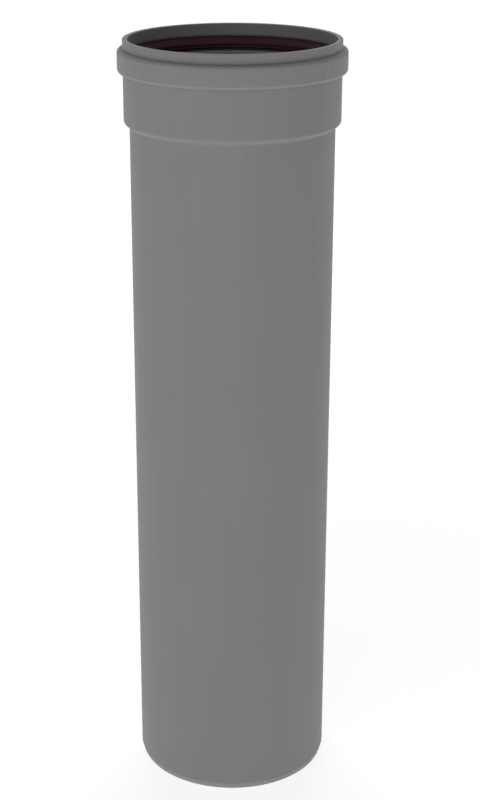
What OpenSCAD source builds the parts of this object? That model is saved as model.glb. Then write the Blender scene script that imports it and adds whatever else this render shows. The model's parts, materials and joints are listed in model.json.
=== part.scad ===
// Flue pipe with a push-fit socket: a plain plastic pipe whose upper end is formed into a socket,
// with a bead round it that holds a lip seal. It stands on its spigot end, with the Z axis along the bore.

/* [Pipe] */
// Outside diameter of the pipe, which is also the spigot that a socket takes
pipe_od = 130; // [75:1:200]
// Wall thickness of the pipe and the socket
wall = 3.3; // [1.8:0.1:4.5]
// Laying length, from the spigot end up to the stop in the socket
laying_length = 452.8; // [150:0.1:2000]

/* [Spigot end] */
// Height of the chamfer that leads the spigot into a socket
chamfer_h = 4; // [2:0.5:8]
// Angle between the chamfer and the pipe wall
chamfer_angle = 16; // [10:1:20]

/* [Socket] */
// Depth of the socket, from its stop to the rim of the mouth
socket_depth = 49.7; // [40:0.1:90]
// Gap all round between the socket and the spigot it takes
socket_gap = 0.3; // [0.1:0.05:0.6]
// Angle between the bore and the shoulder, which is the cone outside the stop
shoulder_angle = 55; // [40:1:70]
// Height of the plain lip between the bead and the rim
lip_h = 5.9; // [3:0.1:12]
// Radius of the formed outer corners, on the shoulder and on the bead
form_r = 2.4; // [0.5:0.1:3.2]
// Radius in the foot of the shoulder, where it runs into the pipe
foot_r = 0.8; // [0.3:0.1:2]
// Radius of the inner edge of the stop
stop_r = 1; // [0.3:0.1:1.5]
// Radius of both edges of the rim
rim_r = 0.5; // [0.2:0.1:1]

/* [Seal groove] */
// Width of the groove, between its flanks
groove_w = 8.8; // [7:0.1:14]
// Depth of the groove in the socket wall
groove_depth = 4; // [3.2:0.1:4.5]
// Wall thickness of the bead round the groove, where forming stretches the wall
bead_wall = 2.8; // [1.6:0.1:4.5]
// Radius of the two inner edges of the groove, which a spigot slides past
neck_r = 2; // [0.5:0.1:2.4]
// Radius in the two corners at the floor of the groove
groove_r = 0.5; // [0.2:0.1:0.7]

/* [Lip seal] */
// Free room above the seal in its groove
seal_play = 0.1; // [0.1:0.1:1.5]
// Radial thickness of the seal's body
body_t = 2.7; // [2:0.1:3.3]
// Radius of the body's edges
body_r = 0.8; // [0.7:0.1:1.2]
// Reach of the upper lip past the surface of the spigot
upper_bite = 1.5; // [0.5:0.1:2.5]
// Reach of the lower lip past the surface of the spigot
lower_bite = 0.7; // [0.3:0.1:1.5]
// Gap between the roots of the two lips
lip_gap = 0.6; // [0.4:0.1:1.2]
// Height of the body below the lower lip
sole_h = 3.4; // [2:0.1:4.2]
// Height of the land at the tip of the upper lip
land_h = 1.5; // [1:0.1:1.8]
// Height of the land at the tip of the lower lip
lower_land_h = 0.9; // [0.8:0.1:1.5]
// Radius of the edges at the tip and the root of a lip
lip_r = 0.3; // [0.1:0.05:0.4]
// Slope of a lip's lower face, below the horizontal
under_slope = 35; // [20:1:42]

/* [Hidden] */
facets = 180;
arc_steps = 8;

// Radii of the pipe, the socket and the bead
spigot_r = pipe_od / 2;
bore_r = spigot_r - wall;
chamfer_w = chamfer_h * tan(chamfer_angle);
socket_r = spigot_r + socket_gap;
socket_outer_r = socket_r + wall;
floor_r = socket_r + groove_depth;
bead_r = floor_r + bead_wall;

// Heights above the spigot end: the stop, then the upper and lower end of the shoulder's cone, which runs
// a wall's thickness outside the stop's corner
stop_z = laying_length;
shoulder_z = stop_z - wall * tan(shoulder_angle / 2);
foot_z = stop_z - (wall + socket_gap * cos(shoulder_angle)) / sin(shoulder_angle);

// Heights from the rim down
rim_z = stop_z + socket_depth;
bead_top_z = rim_z - lip_h;
groove_top_z = bead_top_z - bead_wall;
groove_z = groove_top_z - groove_w;
bead_z = groove_z - bead_wall;

// The seal sits on the lower flank of the groove and against its floor
seal_top_z = groove_top_z - seal_play;
body_inner_r = floor_r - body_t;

// How far each lip stands out from the body
upper_reach = upper_bite + body_inner_r - spigot_r;
lower_reach = lower_bite + body_inner_r - spigot_r;

// Fall of a lip's lower and upper face over its reach: the lips and their gap fill the body above its sole
under_fall = tan(under_slope);
lips_h = seal_top_z - groove_z - sole_h - lip_gap;
upper_fall = under_fall + (lips_h - land_h - lower_land_h) / (upper_reach + lower_reach);

// A corner is [distance from the axis, height, radius of its rounding]
function place(corner) = [corner.x, corner.y];
function toward(from, to) = (place(to) - place(from)) / norm(place(to) - place(from));
function turned(v, angle) = [v.x * cos(angle) - v.y * sin(angle), v.x * sin(angle) + v.y * cos(angle)];

// The length of the edge to a neighbour that a corner's rounding may use, shared by their two radii
function room(corner, other) =
    norm(place(other) - place(corner)) * corner.z / (corner.z + other.z);

// Points along the rounding of a corner, from the edge to the corner before it to the edge after it
function rounding(before, corner, after) =
    let (
        back = toward(corner, before),
        ahead = toward(corner, after),
        half = acos(back * ahead) / 2,
        r = min(corner.z, tan(half) * min(room(corner, before), room(corner, after))),
        middle = (back + ahead) / norm(back + ahead),
        centre = place(corner) + middle * r / sin(half),
        start = place(corner) + back * r / tan(half) - centre,
        turn = (180 - 2 * half) * sign(cross(ahead, back))
    )
    [for (i = [0:arc_steps]) centre + turned(start, turn * i / arc_steps)];

// A closed outline through a list of corners
function outline(corners) =
    let (n = len(corners))
    [for (i = [0:n - 1])
        each corners[i].z == 0
            ? [place(corners[i])]
            : rounding(corners[(i + n - 1) % n], corners[i], corners[(i + 1) % n])];

// The wall, up the outside from the spigot end to the rim and down the inside again
module pipe_section() {
    polygon(outline([
        [spigot_r - chamfer_w, 0, 0],
        [spigot_r, chamfer_h, 0],
        [spigot_r, foot_z, foot_r],
        [socket_outer_r, shoulder_z, form_r],
        [socket_outer_r, bead_z, 0],
        [bead_r, bead_z, form_r],
        [bead_r, bead_top_z, form_r],
        [socket_outer_r, bead_top_z, 0],
        [socket_outer_r, rim_z, rim_r],
        [socket_r, rim_z, rim_r],
        [socket_r, groove_top_z, neck_r],
        [floor_r, groove_top_z, groove_r],
        [floor_r, groove_z, groove_r],
        [socket_r, groove_z, neck_r],
        [socket_r, stop_z, 0],
        [bore_r, stop_z, stop_r],
        [bore_r, 0, 0]
    ]));
}

// A lip that leans down the bore, so that an entering spigot folds it down: root, tip, root
function lip(reach, root_z, tip_h) =
    let (
        tip_r = body_inner_r - reach,
        tip_z = root_z - reach * upper_fall
    )
    [
        [body_inner_r, root_z, lip_r],
        [tip_r, tip_z, lip_r],
        [tip_r, tip_z - tip_h, lip_r],
        [body_inner_r, tip_z - tip_h + reach * under_fall, lip_r]
    ];

// The body, up from its seat on the lower flank, then the two lips down its inner side
module seal_section() {
    upper = lip(upper_reach, seal_top_z, land_h);
    lower = lip(lower_reach, upper[3].y - lip_gap, lower_land_h);
    polygon(outline([
        [body_inner_r, groove_z, body_r],
        [floor_r, groove_z, body_r],
        [floor_r, seal_top_z, body_r],
        each upper,
        each lower
    ]));
}

module pipe() {
    color("#7a7a7a")
        rotate_extrude($fn = facets)
            pipe_section();
}

module lip_seal() {
    color("#472b32")
        rotate_extrude($fn = facets)
            seal_section();
}

pipe();
lip_seal();
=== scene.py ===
"""A flue pipe standing on its spigot end: grey polypropylene with a formed socket, and a red lip seal in it.

Lengths are metres. Heights start at the spigot end, Z runs up the bore, and a radius is a distance from Z.
"""

import json
import math

import bpy
import numpy as np
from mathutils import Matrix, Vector


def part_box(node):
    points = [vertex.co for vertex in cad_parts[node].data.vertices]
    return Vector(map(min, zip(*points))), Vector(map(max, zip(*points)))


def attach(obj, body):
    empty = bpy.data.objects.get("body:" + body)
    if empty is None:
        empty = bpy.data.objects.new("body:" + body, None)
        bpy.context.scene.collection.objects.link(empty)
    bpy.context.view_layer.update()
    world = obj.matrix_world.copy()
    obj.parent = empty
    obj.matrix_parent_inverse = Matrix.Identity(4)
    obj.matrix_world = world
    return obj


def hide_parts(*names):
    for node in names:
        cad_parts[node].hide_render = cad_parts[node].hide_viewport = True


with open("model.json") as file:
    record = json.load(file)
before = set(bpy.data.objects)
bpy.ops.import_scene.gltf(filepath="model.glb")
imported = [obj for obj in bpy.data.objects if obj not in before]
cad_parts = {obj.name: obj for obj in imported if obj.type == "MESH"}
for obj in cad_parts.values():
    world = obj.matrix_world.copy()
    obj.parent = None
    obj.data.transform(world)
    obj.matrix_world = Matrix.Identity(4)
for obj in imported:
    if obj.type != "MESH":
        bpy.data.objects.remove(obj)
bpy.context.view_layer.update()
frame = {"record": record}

# ---------------------------------------------------------------- sizes

MM = 0.001
MOUNTS = {mount["name"]: mount for mount in frame["record"]["mounts"]}
PIPE_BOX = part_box("pipe")
SEAL_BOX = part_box("lip_seal")

# radii and heights that the frame gives
SPIGOT_R = MOUNTS["spigot"]["dims"]["r_mm"] * MM
SOCKET_R = MOUNTS["socket_mouth"]["dims"]["r_mm"] * MM
UPPER_TIP_R = MOUNTS["seal_lip"]["dims"]["r_mm"] * MM
STOP_Z = MOUNTS["socket_stop"]["pos_m"][2]
RIM_Z = PIPE_BOX[1][2]
BEAD_R = PIPE_BOX[1][0]
SEAT_Z = SEAL_BOX[0][2]
SEAL_TOP_Z = SEAL_BOX[1][2]

# the wall, and what is formed or cut in it
WALL = 3.3 * MM
CHAMFER_H = 4 * MM
CHAMFER_ANGLE = math.radians(16)
GROOVE_W = 8.8 * MM
BEAD_WALL = 2.8 * MM
FORM_R = 2.4 * MM
STOP_R = 1 * MM
SHOULDER_ANGLE = math.radians(55)
FOOT_R = 0.8 * MM
NECK_R = 2 * MM
RIM_R = 0.5 * MM
CREASE_R = 0.15 * MM
CUT_R = 0.15 * MM

# the seal's section
BODY_T = 2.7 * MM
BODY_R = 0.8 * MM
SOLE_H = 3.4 * MM
LOWER_TIP_R = SPIGOT_R - 0.7 * MM
LIP_GAP = 0.6 * MM
LAND_H = 1.5 * MM
LOWER_LAND_H = 0.9 * MM
LIP_R = 0.3 * MM
UNDER_FALL = math.tan(math.radians(35))

# how finely a turned surface is divided
TURNS = 288
ARC_STEPS = 8
LONGEST_RUN = 12 * MM


# ---------------------------------------------------------------- turned surfaces

def turned_outline(corners):
    """Points (radius, height) round a section with rounded corners, and the way the surface faces at each.

    A corner is (radius, height, rounding). Where the outline turns by angle t, an arc of that rounding starts
    rounding * tan(t / 2) before the corner and ends as far after it, and the way faced turns evenly by t
    along it. Straight runs between arcs are divided evenly into pieces no longer than LONGEST_RUN.
    """
    place = np.array([corner[:2] for corner in corners])
    rounding = np.array([corner[2] for corner in corners])
    ahead = np.roll(place, -1, axis=0) - place
    ahead /= np.linalg.norm(ahead, axis=1, keepdims=True)
    back = np.roll(ahead, 1, axis=0)
    turn = np.arctan2(back[:, 0] * ahead[:, 1] - back[:, 1] * ahead[:, 0], (back * ahead).sum(axis=1))
    outward = np.stack([back[:, 1], -back[:, 0]], axis=1)
    signed = np.sign(turn)[:, None] * rounding[:, None]
    centre = place - back * (rounding * np.tan(np.abs(turn) / 2))[:, None] - outward * signed
    share = np.linspace(0, 1, ARC_STEPS + 1)
    facing = np.arctan2(outward[:, 1], outward[:, 0])[:, None] + turn[:, None] * share
    normals = np.stack([np.cos(facing), np.sin(facing)], axis=2)
    arcs = centre[:, None] + signed[:, None] * normals

    points, faced = [], []
    for index, arc in enumerate(arcs):
        after = arcs[(index + 1) % len(arcs)][0]
        pieces = math.ceil(np.linalg.norm(after - arc[-1]) / LONGEST_RUN)
        between = np.linspace(0, 1, pieces + 1)[1:-1, None]
        points += [arc, arc[-1] + (after - arc[-1]) * between]
        faced += [normals[index], np.repeat(normals[index][-1:], len(between), axis=0)]
    return np.concatenate(points), np.concatenate(faced)


def carried_round(section):
    """Every (r, z) of a section at each turn a about the bore, as (r cos a, r sin a, z), turn by turn."""
    angle = np.arange(TURNS) * (math.tau / TURNS)
    x = np.outer(np.cos(angle), section[:, 0])
    y = np.outer(np.sin(angle), section[:, 0])
    z = np.broadcast_to(section[:, 1], x.shape)
    return np.stack([x, y, z], axis=2).reshape(-1, 3)


def turned_piece(name, corners, material):
    """A closed ring: the outline through the corners, carried round the bore, and faces from turn to turn."""
    outline, faced = turned_outline(corners)
    here = np.arange(TURNS * len(outline)).reshape(TURNS, len(outline))
    next_turn = np.roll(here, -1, axis=0)
    quads = np.stack([here, next_turn, np.roll(next_turn, -1, axis=1), np.roll(here, -1, axis=1)], axis=2)

    mesh = bpy.data.meshes.new(name)
    mesh.from_pydata(carried_round(outline), [], quads.reshape(-1, 4))
    mesh.polygons.foreach_set("use_smooth", np.ones(len(mesh.polygons), bool))
    mesh.normals_split_custom_set_from_vertices(carried_round(faced))
    mesh.materials.append(material)
    piece = bpy.data.objects.new(name, mesh)
    bpy.context.scene.collection.objects.link(piece)
    return piece


# ---------------------------------------------------------------- materials

def linear(colour):
    """The linear red, green, blue and alpha of an sRGB hex colour."""
    channels = np.array([int(colour[i:i + 2], 16) for i in (1, 3, 5)]) / 255
    curve = np.where(channels <= 0.04045, channels / 12.92, ((channels + 0.055) / 1.055) ** 2.4)
    return (*curve.tolist(), 1.0)


def add_node(tree, kind, inputs=None, **settings):
    """Adds a node with its settings. Each input is a value to set, a socket to link, or a node to link from.

    An input goes by its name, or by its number where a node has several of one name: a Mix node's are 0 for
    the share, 2 and 3 for two numbers, and 6 and 7 for two colours, with the mixed colour as output 2.
    """
    node = tree.nodes.new(kind)
    for key, value in settings.items():
        setattr(node, key, value)
    for key, value in (inputs or {}).items():
        if isinstance(value, bpy.types.Node):
            value = value.outputs[0]
        if isinstance(value, bpy.types.NodeSocket):
            tree.links.new(value, node.inputs[key])
        else:
            node.inputs[key].default_value = value
    return node


def new_tree(name):
    """An empty material of that name, and its node tree."""
    material = bpy.data.materials.new(name)
    material.use_nodes = True
    material.node_tree.nodes.clear()
    return material, material.node_tree


# what the pipe's skin carries
LINE_GAP = 2 * MM
LINE_RUN = 300 * MM
DRIFT_ACROSS = 70 * MM
PEEL_ACROSS = 1 * MM
SKIN_RELIEF = 0.006 * MM
LINES_TO_PEEL = 1.5
CUTTER_FEED = 0.5 * MM
# the rim's band that is faced off and painted paler as a highlight, from where it starts to its full strength
RIM_HIGHLIGHT_FROM_Z = RIM_Z - 0.35 * MM
RIM_HIGHLIGHT_FULL_Z = RIM_Z - 0.1 * MM

# what the seal's skin carries
BLOOM_ACROSS = 8 * MM
GRAIN_ACROSS = 0.8 * MM
GRAIN_RELIEF = 0.03 * MM

# a noise seldom leaves this range
NOISE_LOW, NOISE_HIGH = 0.3, 0.7

# how rough each skin is, from its glossiest patches to its mattest
PLASTIC_GLOSSIEST, PLASTIC_MATTEST = 0.62, 0.68
RUBBER_GLOSSIEST, RUBBER_MATTEST = 0.55, 0.68

# what the dusty bloom leaves of the rubber's reflection, which would be 0.5 on a clean skin
RUBBER_REFLECTION = 0.1


def extruded_polypropylene():
    """Grey polypropylene, extruded, and its end formed hot: matt and slightly waxy.

    Drawing lines run faintly up the bore, the skin has a fine orange peel, and shade and gloss drift a little
    over a hand's width. Where the plastic is cut it is painted paler, as a painted highlight: on the spigot's
    chamfer, which is turned and has cutter rings, and on the rim, which is faced off after forming.
    """
    material, tree = new_tree("extruded_polypropylene")
    here = add_node(tree, "ShaderNodeTexCoord").outputs["Object"]
    height = add_node(tree, "ShaderNodeSeparateXYZ", {"Vector": here}).outputs["Z"]

    # drawing lines a few millimetres apart, each of which runs on for a good part of the pipe
    lines_scale = (1 / LINE_GAP, 1 / LINE_GAP, 1 / LINE_RUN)
    stretched = add_node(tree, "ShaderNodeMapping", {"Vector": here, "Scale": lines_scale})
    lines = add_node(tree, "ShaderNodeTexNoise", {"Vector": stretched, "Scale": 1.0, "Detail": 3.0})
    # the drift in shade and gloss
    drift = add_node(tree, "ShaderNodeTexNoise", {"Vector": here, "Scale": 1 / DRIFT_ACROSS, "Detail": 2.0})
    # orange peel, really half as coarse, drawn at this size so that it shows
    peel = add_node(tree, "ShaderNodeTexNoise", {"Vector": here, "Scale": 1 / PEEL_ACROSS, "Detail": 1.0})
    # where the plastic is cut, painted paler as a highlight, and the cutter rings on the chamfer
    chamfer = add_node(tree, "ShaderNodeMath", {0: height, 1: CHAMFER_H}, operation="LESS_THAN")
    faced = add_node(
        tree, "ShaderNodeMapRange",
        {"Value": height, "From Min": RIM_HIGHLIGHT_FROM_Z, "From Max": RIM_HIGHLIGHT_FULL_Z},
    )
    painted_highlight_cut = add_node(tree, "ShaderNodeMath", {0: chamfer, 1: faced}, operation="MAXIMUM")
    rings = add_node(tree, "ShaderNodeMath", {0: height, 1: math.tau / CUTTER_FEED}, operation="MULTIPLY")
    rings = add_node(tree, "ShaderNodeMath", {0: rings}, operation="SINE")
    rings = add_node(tree, "ShaderNodeMath", {0: rings, 1: chamfer}, operation="MULTIPLY")

    # the shade follows the lines and the drift in equal parts
    shade = add_node(tree, "ShaderNodeMix", {0: 0.5, 2: lines, 3: drift}, data_type="FLOAT")
    skin_colour = add_node(
        tree, "ShaderNodeMix",
        {0: shade, 6: linear("#787878"), 7: linear("#888888")}, data_type="RGBA",
    )
    # the cut faces take a paler grey: a painted highlight on the rim and the chamfer
    colour = add_node(
        tree, "ShaderNodeMix",
        {0: painted_highlight_cut, 6: skin_colour.outputs[2], 7: linear("#868686")}, data_type="RGBA",
    )
    roughness = add_node(
        tree, "ShaderNodeMapRange",
        {
            "Value": drift,
            "From Min": NOISE_LOW,
            "From Max": NOISE_HIGH,
            "To Min": PLASTIC_GLOSSIEST,
            "To Max": PLASTIC_MATTEST,
        },
    )
    relief = add_node(
        tree, "ShaderNodeMath",
        {0: lines, 1: LINES_TO_PEEL, 2: peel}, operation="MULTIPLY_ADD",
    )
    relief = add_node(tree, "ShaderNodeMath", {0: relief, 1: rings}, operation="ADD")
    bump = add_node(tree, "ShaderNodeBump", {"Height": relief, "Strength": 1.0, "Distance": SKIN_RELIEF})
    plastic = add_node(
        tree, "ShaderNodeBsdfPrincipled",
        {"Base Color": colour.outputs[2], "Roughness": roughness, "IOR": 1.49, "Normal": bump},
    )
    add_node(tree, "ShaderNodeOutputMaterial", {"Surface": plastic})
    return material


def moulded_seal_rubber():
    """Dark red sealing rubber, moulded: satin, with a faint dusty bloom in patches and a fine grain."""
    material, tree = new_tree("moulded_seal_rubber")
    here = add_node(tree, "ShaderNodeTexCoord").outputs["Object"]
    bloom = add_node(tree, "ShaderNodeTexNoise", {"Vector": here, "Scale": 1 / BLOOM_ACROSS, "Detail": 3.0})
    # the grain of the mould's spark-eroded wall, drawn at this size so that it shows
    grain = add_node(tree, "ShaderNodeTexNoise", {"Vector": here, "Scale": 1 / GRAIN_ACROSS, "Detail": 1.0})
    colour = add_node(
        tree, "ShaderNodeMix",
        {0: bloom, 6: linear("#3A2228"), 7: linear("#54343C")}, data_type="RGBA",
    )
    roughness = add_node(
        tree, "ShaderNodeMapRange",
        {
            "Value": bloom,
            "From Min": NOISE_LOW,
            "From Max": NOISE_HIGH,
            "To Min": RUBBER_GLOSSIEST,
            "To Max": RUBBER_MATTEST,
        },
    )
    bump = add_node(tree, "ShaderNodeBump", {"Height": grain, "Strength": 1.0, "Distance": GRAIN_RELIEF})
    rubber = add_node(
        tree, "ShaderNodeBsdfPrincipled",
        {
            "Base Color": colour.outputs[2],
            "Roughness": roughness,
            "IOR": 1.5,
            "Specular IOR Level": RUBBER_REFLECTION,
            "Normal": bump,
        },
    )
    add_node(tree, "ShaderNodeOutputMaterial", {"Surface": rubber})
    return material


def lit_white_table():
    """Matt white plastic lit from beneath: it glows, and the lamps add their light, which the pipe shades.

    What looks at it sees a glow that comes to plain white with the lamps' light. That light falls off away
    from the pipe, so the glow seen there is stronger.
    """
    material, tree = new_tree("lit_white_table")
    here = add_node(tree, "ShaderNodeTexCoord").outputs["Object"]
    distance = add_node(tree, "ShaderNodeVectorMath", {0: here}, operation="LENGTH").outputs["Value"]
    glow_seen = add_node(
        tree, "ShaderNodeMapRange",
        {
            "Value": distance,
            "From Min": NEAR_R,
            "From Max": FAR_R,
            "To Min": GLOW_SEEN_NEAR,
            "To Max": GLOW_SEEN_FAR,
        },
    )
    strength = add_node(
        tree, "ShaderNodeMix",
        {0: seen_directly(tree), 2: TABLE_GLOW, 3: glow_seen}, data_type="FLOAT",
    )
    glow = add_node(tree, "ShaderNodeEmission", {"Color": linear("#FFFFFF"), "Strength": strength})
    plastic = add_node(tree, "ShaderNodeBsdfDiffuse", {"Color": linear("#E6E6E6")})
    table = add_node(tree, "ShaderNodeAddShader", {0: plastic, 1: glow})
    add_node(tree, "ShaderNodeOutputMaterial", {"Surface": table})
    return material


def seen_directly(tree):
    """A node that is 1 where the camera looks, straight or by a reflection or through glass, 0 elsewhere."""
    path = add_node(tree, "ShaderNodeLightPath").outputs
    seen = add_node(
        tree, "ShaderNodeMath",
        {0: path["Is Camera Ray"], 1: path["Is Glossy Ray"]}, operation="MAXIMUM",
    )
    return add_node(tree, "ShaderNodeMath", {0: seen, 1: path["Is Transmission Ray"]}, operation="MAXIMUM")


# ---------------------------------------------------------------- pieces

def shoulder_z(radius):
    """Height at a radius on the shoulder's cone, which runs a wall's thickness outside the stop's corner."""
    return STOP_Z - (WALL + (SOCKET_R - radius) * math.cos(SHOULDER_ANGLE)) / math.sin(SHOULDER_ANGLE)


def make_pipe():
    """The wall, up the outside from the spigot end to the rim and down the inside again."""
    floor_r = BEAD_R - BEAD_WALL
    socket_outer_r = SOCKET_R + WALL
    bore_r = SPIGOT_R - WALL
    groove_top_z = SEAT_Z + GROOVE_W
    corners = [
        (SPIGOT_R - CHAMFER_H * math.tan(CHAMFER_ANGLE), 0, CUT_R),
        (SPIGOT_R, CHAMFER_H, CUT_R),
        (SPIGOT_R, shoulder_z(SPIGOT_R), FOOT_R),
        (socket_outer_r, shoulder_z(socket_outer_r), FORM_R),
        (socket_outer_r, SEAT_Z - BEAD_WALL, CREASE_R),
        (BEAD_R, SEAT_Z - BEAD_WALL, FORM_R),
        (BEAD_R, groove_top_z + BEAD_WALL, FORM_R),
        (socket_outer_r, groove_top_z + BEAD_WALL, CREASE_R),
        (socket_outer_r, RIM_Z, RIM_R),
        (SOCKET_R, RIM_Z, RIM_R),
        (SOCKET_R, groove_top_z, NECK_R),
        (floor_r, groove_top_z, CREASE_R),
        (floor_r, SEAT_Z, CREASE_R),
        (SOCKET_R, SEAT_Z, NECK_R),
        (SOCKET_R, STOP_Z, CREASE_R),
        (bore_r, STOP_Z, STOP_R),
        (bore_r, 0, CUT_R),
    ]
    return turned_piece("pipe_wall", corners, extruded_polypropylene())


def lip_corners(body_r, tip_r, root_z, upper_fall, land_h):
    """A lip of the seal, from its upper root round its tip to its lower root."""
    tip_z = root_z - (body_r - tip_r) * upper_fall
    under_z = tip_z - land_h + (body_r - tip_r) * UNDER_FALL
    return [
        (body_r, root_z, LIP_R),
        (tip_r, tip_z, LIP_R),
        (tip_r, tip_z - land_h, LIP_R),
        (body_r, under_z, LIP_R),
    ]


def make_seal():
    """The seal's body, up from its seat, then its two lips down the inner side, above the sole."""
    floor_r = BEAD_R - BEAD_WALL
    body_r = floor_r - BODY_T
    lips_h = SEAL_TOP_Z - SEAT_Z - SOLE_H - LIP_GAP
    upper_fall = UNDER_FALL + (lips_h - LAND_H - LOWER_LAND_H) / (2 * body_r - UPPER_TIP_R - LOWER_TIP_R)
    upper = lip_corners(body_r, UPPER_TIP_R, SEAL_TOP_Z, upper_fall, LAND_H)
    lower = lip_corners(body_r, LOWER_TIP_R, upper[-1][1] - LIP_GAP, upper_fall, LOWER_LAND_H)
    body = [(body_r, SEAT_Z, BODY_R), (floor_r, SEAT_Z, BODY_R), (floor_r, SEAL_TOP_Z, BODY_R)]
    return turned_piece("seal_ring", body + upper + lower, moulded_seal_rubber())


# ---------------------------------------------------------------- stage

# the table: half its side, how strongly it glows on the pipe, and how strongly it is seen to glow, from near
# the pipe to far off
TABLE_HALF = 8.0
TABLE_GLOW = 0.93
NEAR_R, GLOW_SEEN_NEAR = 0.4, 0.72
FAR_R, GLOW_SEEN_FAR = 4.0, 0.94

# how strongly the white surround lights the pipe
SKY_LEVEL = 0.13

# square lamps: their side, then each one's place and its power in watts
LAMP_SIZE = 1.6
LAMPS = {
    "front_lamp": ((-0.6, -2.6, 1.6), 9),
    "side_lamp": ((-1.7, -1.8, 1.3), 6),
    "back_lamp": ((0, 1.5, 2.3), 15),
}

# the camera: how far back, up and aside it stands, the angle at which it looks down, and its lens, with the
# focal length in the camera's own millimetres and the shift as a share of the sensor's longer side
CAMERA_BACK = 15.92 * SPIGOT_R
CAMERA_UP = 10.03 * SPIGOT_R
CAMERA_ASIDE = -2.3 * MM
LOOK_DOWN = math.radians(20.625)
FOCAL_LENGTH = 74.11
LENS_SHIFT = 0.0139


def make_floor():
    """A flat square table at the height of the spigot end."""
    corners = [(x * TABLE_HALF, y * TABLE_HALF, 0) for x, y in ((-1, -1), (1, -1), (1, 1), (-1, 1))]
    mesh = bpy.data.meshes.new("floor")
    mesh.from_pydata(corners, [], [(0, 1, 2, 3)])
    mesh.materials.append(lit_white_table())
    floor = bpy.data.objects.new("floor", mesh)
    bpy.context.scene.collection.objects.link(floor)


def light_world():
    """An even white surround, which lights the pipe a little and looks plain white."""
    world = bpy.data.worlds.new("white_surround")
    bpy.context.scene.world = world
    world.use_nodes = True
    tree = world.node_tree
    tree.nodes.clear()
    level = add_node(tree, "ShaderNodeMix", {0: seen_directly(tree), 2: SKY_LEVEL, 3: 1.0}, data_type="FLOAT")
    white = add_node(tree, "ShaderNodeBackground", {"Color": linear("#FFFFFF"), "Strength": level})
    add_node(tree, "ShaderNodeOutputWorld", {"Surface": white})


def add_soft_lamp(name, place, power):
    """A square lamp of that power at place, turned to shine on the middle of the pipe."""
    lamp = bpy.data.lights.new(name, "AREA")
    lamp.size = LAMP_SIZE
    lamp.energy = power
    holder = bpy.data.objects.new(name, lamp)
    holder.location = place
    aim = Vector((0, 0, RIM_Z / 2)) - Vector(place)
    holder.rotation_euler = aim.to_track_quat("-Z", "Y").to_euler()
    bpy.context.scene.collection.objects.link(holder)


def add_camera():
    """A long lens square on to the pipe, a little above its rim and looking down."""
    camera = bpy.data.cameras.new("camera")
    camera.lens = FOCAL_LENGTH
    camera.shift_x = LENS_SHIFT
    holder = bpy.data.objects.new("camera", camera)
    holder.location = (CAMERA_ASIDE, -CAMERA_BACK, CAMERA_UP)
    holder.rotation_euler = (math.pi / 2 - LOOK_DOWN, 0, 0)
    bpy.context.scene.collection.objects.link(holder)
    bpy.context.scene.camera = holder


pipe = make_pipe()
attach(pipe, "root")
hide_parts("pipe")

seal = make_seal()
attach(seal, "root")
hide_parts("lip_seal")

make_floor()
light_world()
for lamp_name, (lamp_place, lamp_power) in LAMPS.items():
    add_soft_lamp(lamp_name, lamp_place, lamp_power)
add_camera()
bpy.context.scene.view_settings.view_transform = "Standard"
